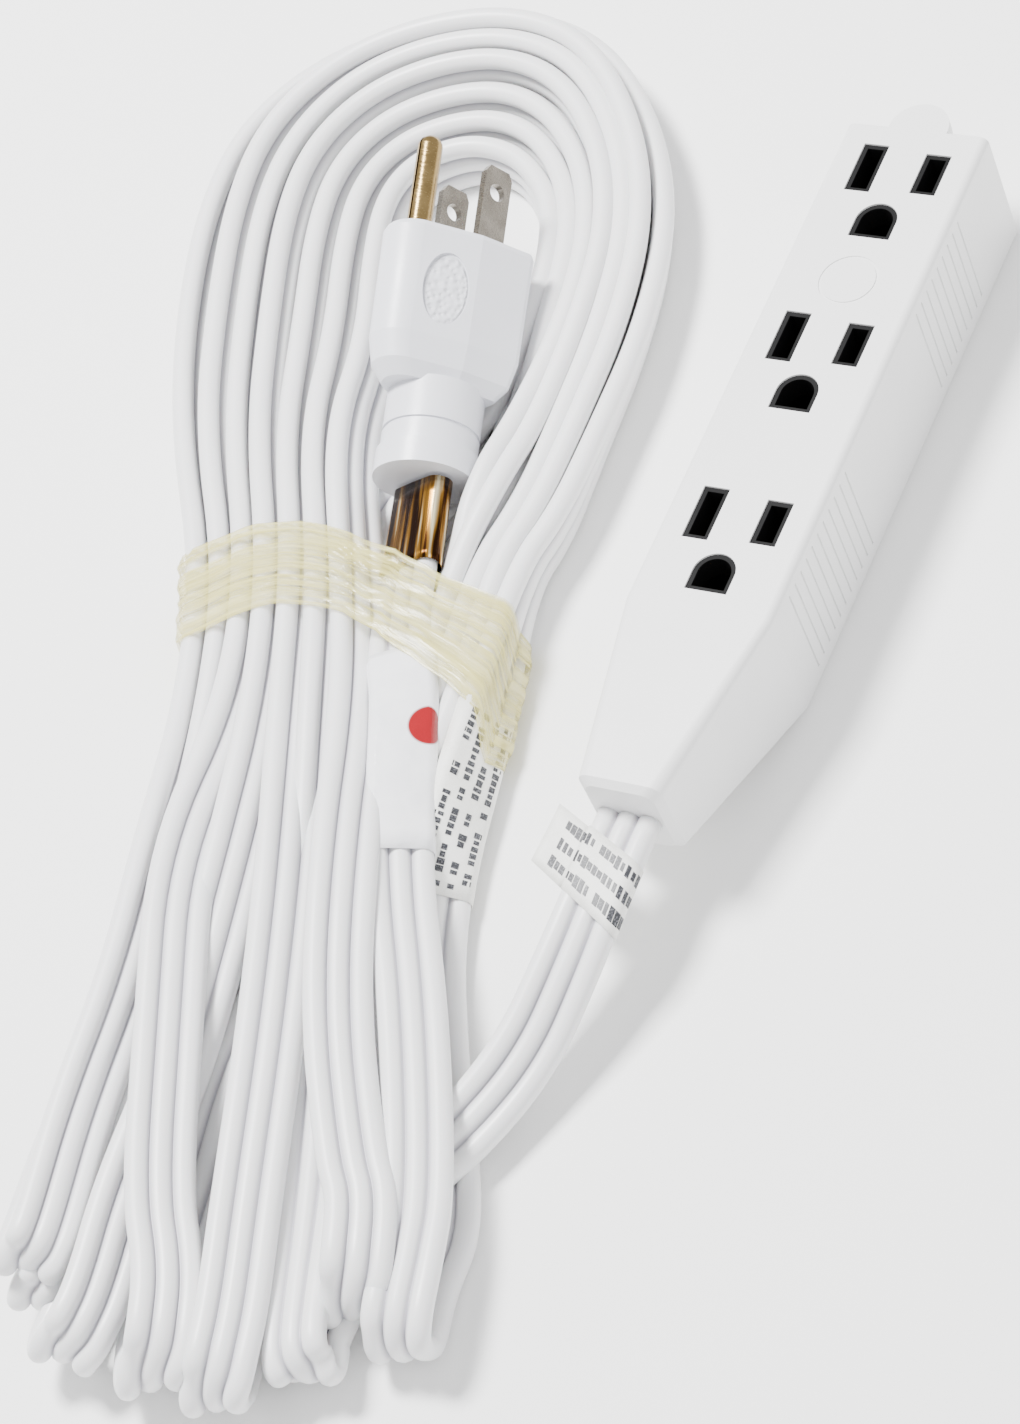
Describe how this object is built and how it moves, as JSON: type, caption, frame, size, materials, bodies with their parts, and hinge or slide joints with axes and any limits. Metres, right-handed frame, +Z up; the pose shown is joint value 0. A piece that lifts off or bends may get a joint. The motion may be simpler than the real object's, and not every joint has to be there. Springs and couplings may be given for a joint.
{
  "type": "extension cord",
  "caption": "Flat white grounded extension cord wound into a taped hank, with a slim outlet block that tapers into the cord and a moulded three-prong plug.",
  "frame": {"origin": "middle of the outlet block's footprint on the surface it lies on, with its outlets up", "axes": "+Y along the block from its cord end to its hanging tab, +Z up out of the outlets, +X to the right when the face is read with the tab at the top"},
  "size_m": [0.1674, 0.3027, 0.0359],
  "materials": {
    "copper_wire": "bare stranded copper",
    "cord_pvc": "satin extruded PVC",
    "tinned_crimp": "tin plated",
    "contact_brass": "stamped brass",
    "carrier_black": "moulded black ABS",
    "blade_nickel": "nickel plated brass",
    "pin_brass": "folded brass",
    "bridge_nylon": "moulded nylon",
    "block_pvc": "moulded white PVC, satin",
    "plug_pvc": "moulded white PVC, satin",
    "clear_tape": "clear film tape",
    "gold_foil": "metallised foil",
    "film_label": "glossy white film",
    "notice_paper": "white paper with plain printed bars",
    "flag_paper": "white paper with plain printed bars"
  },
  "bodies": {
    "root": {"block_cord_root": "cord_pvc", "block_cord_tail": "cord_pvc", "block_ground_crimp": "tinned_crimp", "block_ground_insulation": "cord_pvc", "block_ground_wire": "copper_wire", "block_hot_crimp": "tinned_crimp", "block_hot_insulation": "cord_pvc", "block_hot_wire": "copper_wire", "block_neutral_crimp": "tinned_crimp", "block_neutral_insulation": "cord_pvc", "block_neutral_wire": "copper_wire", "contact_carrier_front": "carrier_black", "contact_carrier_rear": "carrier_black", "cord_hank": "cord_pvc", "flag_label": "flag_paper", "foil_label": "gold_foil", "ground_contact_strip": "contact_brass", "ground_pin": "pin_brass", "hank_tape": "clear_tape", "hot_blade": "blade_nickel", "hot_contact_strip": "contact_brass", "neutral_blade": "blade_nickel", "neutral_contact_strip": "contact_brass", "notice_label": "notice_paper", "outlet_block_housing": "block_pvc", "plug_body": "plug_pvc", "plug_cord_root": "cord_pvc", "plug_cord_tail": "cord_pvc", "plug_ground_crimp": "tinned_crimp", "plug_ground_insulation": "cord_pvc", "plug_ground_wire": "copper_wire", "plug_hot_crimp": "tinned_crimp", "plug_hot_insulation": "cord_pvc", "plug_hot_wire": "copper_wire", "plug_neutral_crimp": "tinned_crimp", "plug_neutral_insulation": "cord_pvc", "plug_neutral_wire": "copper_wire", "prong_bridge": "bridge_nylon", "sleeve_label": "film_label"}
  },
  "joints": []
}
